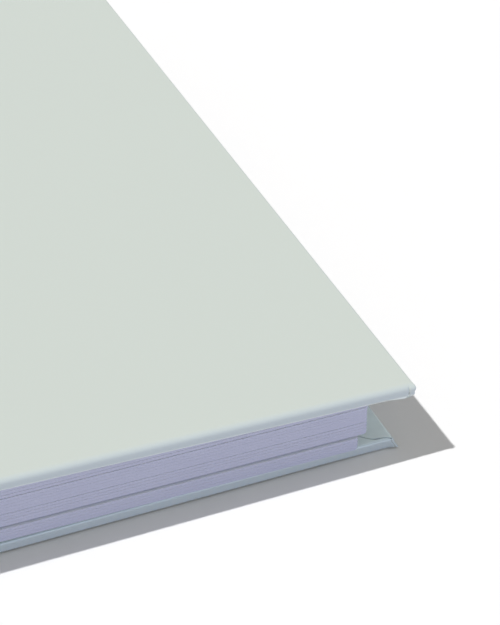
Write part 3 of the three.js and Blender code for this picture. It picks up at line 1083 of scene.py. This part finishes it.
leaf_tree, given, wanted = new_group(
    "GeometryNodeTree",
    "card_leaf",
    {
        "Length": ("Float", 200 * MM),
        "Width": ("Float", 200 * MM),
        "Thickness": ("Float", 0.6 * MM),
        "Corner": ("Float", LEAF_CORNER),
        "Grid Step": ("Float", GRID_STEP),
        "Row Place": ("Float", 0.0),
        "Hole Length": ("Float", HOLE_WIDTH),
        "Ripple": ("Float", RIPPLE),
        "Ripple Length": ("Float", RIPPLE_LENGTH),
        "Seed": ("Int", 0),
        "Material": ("Material", None),
    },
    {"Mesh": "Geometry"},
)
grid = {
    "Size X": given["Length"],
    "Size Y": given["Width"],
    "Vertices X": maths(leaf_tree, "DIVIDE", given["Length"], given["Grid Step"]),
    "Vertices Y": maths(leaf_tree, "DIVIDE", given["Width"], given["Grid Step"]),
}
sheet = put(leaf_tree, "GeometryNodeMeshGrid", grid).outputs["Mesh"]
card = raised(leaf_tree, sheet, given["Thickness"])
blank_sizes = {
    "Length": given["Length"],
    "Width": given["Width"],
    "Corner": given["Corner"],
    "Bottom": maths(leaf_tree, "MULTIPLY", given["Thickness"], -1.0),
    "Thickness": maths(leaf_tree, "MULTIPLY", given["Thickness"], 3.0),
}
blank = put(leaf_tree, "GeometryNodeGroup", blank_sizes, node_tree=plate).outputs[0]
trimmed = put(leaf_tree, "GeometryNodeMeshBoolean", operation="INTERSECT", solver="MANIFOLD")
leaf_tree.links.new(card, trimmed.inputs["Mesh 2"])
leaf_tree.links.new(blank, trimmed.inputs["Mesh 2"])
row_sizes = {"Row Place": given["Row Place"], "Hole Length": given["Hole Length"]}
holes = put(leaf_tree, "GeometryNodeGroup", row_sizes, node_tree=punch).outputs[0]
punched = put(leaf_tree, "GeometryNodeMeshBoolean", operation="DIFFERENCE", solver="MANIFOLD")
leaf_tree.links.new(trimmed.outputs[0], punched.inputs["Mesh 1"])
leaf_tree.links.new(holes, punched.inputs["Mesh 2"])

position = put(leaf_tree, "GeometryNodeInputPosition").outputs[0]
spot = put(leaf_tree, "ShaderNodeSeparateXYZ", {0: position}).outputs
layer = maths(leaf_tree, "MULTIPLY", given["Seed"], RIPPLE_LAYER)
waves = maths(leaf_tree, "DIVIDE", 1.0, given["Ripple Length"])
in_waves = {0: xyz(leaf_tree, spot[0], spot[1], layer), 1: xyz(leaf_tree, waves, waves, 1.0)}
scaled = put(leaf_tree, "ShaderNodeVectorMath", in_waves, operation="MULTIPLY").outputs[0]
wave = noise_at(leaf_tree, 1.0, RIPPLE_DETAIL, scaled)
freedom = maths(leaf_tree, "DIVIDE", spot[0], given["Length"])
freedom = maths(leaf_tree, "ADD", freedom, 0.5, use_clamp=True)
lift = maths(leaf_tree, "MULTIPLY", maths(leaf_tree, "MULTIPLY", wave, given["Ripple"]), freedom)
lifted = {"Geometry": punched.outputs[0], "Offset": xyz(leaf_tree, z=lift)}
rippled = put(leaf_tree, "GeometryNodeSetPosition", lifted).outputs[0]

# Upright faces are the cut edges; their darker tint is partly painted shade between the sheets.
normal = put(leaf_tree, "GeometryNodeInputNormal").outputs[0]
facing_up = put(leaf_tree, "ShaderNodeSeparateXYZ", {0: normal}).outputs[2]
upright = maths(leaf_tree, "LESS_THAN", maths(leaf_tree, "ABSOLUTE", facing_up), CUT_LIMIT)
cut_faces = {"Geometry": rippled, "Name": "edge", "Value": upright}
marked = put(leaf_tree, "GeometryNodeStoreNamedAttribute", cut_faces, data_type="FLOAT", domain="FACE")
end_tree(leaf_tree, marked.outputs[0], given["Material"], wanted["Mesh"])
print("leaf tree:", len(leaf_tree.nodes), "nodes")

# %% [markdown]
# The sheets of a real block aren't quite flush, so each leaf is slid by a few hundredths of a
# millimetre, and the top three by a tenth more along the spine. They lie almost without a gap, so
# each is a little thicker than the plain leaf, which has to stay clear of its neighbours. All other
# sizes come from that leaf.

# %% Sixteen leaves
LEAF_COUNT = 16
LEAF_SEED = 16
LEAF_SLIDE = 0.045 * MM
TOP_LEAVES = 3
TOP_SLIDE = 0.12 * MM
LEAF_SWELL = (0.05 * MM, 0.12 * MM)

chance = np.random.default_rng(LEAF_SEED)
slides = chance.uniform(-LEAF_SLIDE, LEAF_SLIDE, (LEAF_COUNT, 2))
slides[:TOP_LEAVES, 1] += TOP_SLIDE
swells = chance.uniform(*LEAF_SWELL, LEAF_COUNT)
faces = 0
for number, slide, swell in zip(range(1, LEAF_COUNT + 1), slides, swells):
    body = f"leaf_{number:02d}"
    low, high = own_box(body, BACK_SLOPE)
    middle = (low + high) / 2
    mesh = grow(body, leaf_tree, {
        "Length": high.x - low.x,
        "Width": high.y - low.y,
        "Thickness": high.z - low.z + swell,
        "Row Place": low.x + SPINE_MARGIN + HOLE_LENGTH / 2 - middle.x,
        "Hole Length": HOLE_LENGTH,
        "Seed": number,
        "Material": leaf_card,
    })
    corner = (middle.x + slide[0], middle.y + slide[1], low.z - swell / 2)
    mesh.transform(placed(BACK_SLOPE) @ Matrix.Translation(corner))
    if number in (1, LEAF_COUNT):
        print(body, "volume and open edges:", closed_volume(mesh), "faces", len(mesh.polygons))
    faces += len(mesh.polygons)
    declare(f"card_leaf_{number:02d}", mesh, leaf_card, body, body)
print("faces in all leaves:", faces)

# %% [markdown]
# ## The twin-loop wire
#
# The wire is one piece from end to end. It comes along a short link, bends up into a leg, goes once
# round through a hole, turns back at a narrow tip, and comes down again to the next link. So the
# script works out the middle line of one loop as a chain of points.

# %% Middle line of one loop
WIRE = 1.1 * MM
LEG_SPACING = 1.7 * MM
LINK_TURN = 262
LEGS_CLOSED_TURN = 290
TIP_PAST_LINK = 4
BEND = 0.9 * MM
BEND_STEPS = 4
FLARE_STEPS = 8
ROUND_STEPS = 44
TIP_STEPS = 8
LOOP_RADIUS = PIVOT.z - WIRE / 2

degrees_each = math.degrees(1 / LOOP_RADIUS)
tip_radius = LEG_SPACING / 2
link_half = HOLE_PITCH / 4


def on_loop(turn, sideways):
    """A point on the loop's circle, at this turn in degrees and this far along the spine."""
    angle = math.radians(turn)
    return (LOOP_RADIUS * math.cos(angle), sideways, LOOP_RADIUS * math.sin(angle))


leg = []
for step in range(BEND_STEPS):
    turn = QUARTER_TURN * step / BEND_STEPS
    rise = BEND * (1 - math.cos(turn)) * degrees_each
    leg.append((LINK_TURN + rise, link_half + BEND * (1 - math.sin(turn))))
flare_start = LINK_TURN + BEND * degrees_each
for step in range(FLARE_STEPS):
    share = step / FLARE_STEPS
    eased = share * share * (3 - 2 * share)
    turn = flare_start + (LEGS_CLOSED_TURN - flare_start) * share
    leg.append((turn, link_half + (tip_radius - link_half) * eased))
leg_end = LINK_TURN + TIP_PAST_LINK + 360 - tip_radius * degrees_each
for step in range(ROUND_STEPS + 1):
    leg.append((LEGS_CLOSED_TURN + (leg_end - LEGS_CLOSED_TURN) * step / ROUND_STEPS, tip_radius))
loop_points = [on_loop(turn, -half) for turn, half in leg]
for step in range(1, TIP_STEPS):
    turn = math.pi * step / TIP_STEPS
    past_leg = tip_radius * math.sin(turn) * degrees_each
    loop_points.append(on_loop(leg_end + past_leg, -tip_radius * math.cos(turn)))
loop_points += [on_loop(turn, half) for turn, half in reversed(leg)]
loop_line = bpy.data.meshes.new("loop_line")
loop_line.from_pydata(loop_points, [(index, index + 1) for index in range(len(loop_points) - 1)], [])
print("points in a loop:", len(loop_points), "radius in mm:", round(LOOP_RADIUS / MM, 3))

# %% [markdown]
# The tree repeats that chain at the pitch of the holes. All the points are then joined into one
# line, so that neighbouring loops become one wire, and a round section is swept along it.

# %% Tree for the wire
WIRE_SIDES = 10

wire_tree, given, wanted = new_group(
    "GeometryNodeTree",
    "twin_loop_wire",
    {
        "Loop": ("Geometry", None),
        "Loops": ("Int", HOLE_COUNT),
        "Pitch": ("Float", HOLE_PITCH),
        "Thickness": ("Float", WIRE),
        "Sides": ("Int", WIRE_SIDES),
        "Material": ("Material", None),
    },
    {"Mesh": "Geometry"},
)
row = spine_points(wire_tree, given["Loops"], given["Pitch"])
chain = put(wire_tree, "GeometryNodeMeshToCurve", {"Mesh": given["Loop"]}).outputs[0]
copies = put(wire_tree, "GeometryNodeInstanceOnPoints", {"Points": row, "Instance": chain}).outputs[0]
chains = put(wire_tree, "GeometryNodeRealizeInstances", {"Geometry": copies}).outputs[0]
beads = put(wire_tree, "GeometryNodeCurveToPoints", {"Curve": chains}, mode="EVALUATED").outputs[0]
line = put(wire_tree, "GeometryNodePointsToCurves", {"Points": beads}).outputs[0]
round_section = {
    "Resolution": given["Sides"],
    "Radius": maths(wire_tree, "MULTIPLY", given["Thickness"], 0.5),
}
circle = put(wire_tree, "GeometryNodeCurvePrimitiveCircle", round_section).outputs[0]
sweep = {"Curve": line, "Profile Curve": circle, "Fill Caps": True}
swept = put(wire_tree, "GeometryNodeCurveToMesh", sweep).outputs[0]
end_tree(wire_tree, swept, given["Material"], wanted["Mesh"])

wire = grow("wire", wire_tree, {"Material": drawn_steel}, loop_line)
print("wire, volume and open edges:", closed_volume(wire), "faces", len(wire.polygons))
wire.transform(placed(BACK_SLOPE))
declare("twin_loop_wire", wire, drawn_steel, "back_cover", "wire_binding", sharp_from=50)
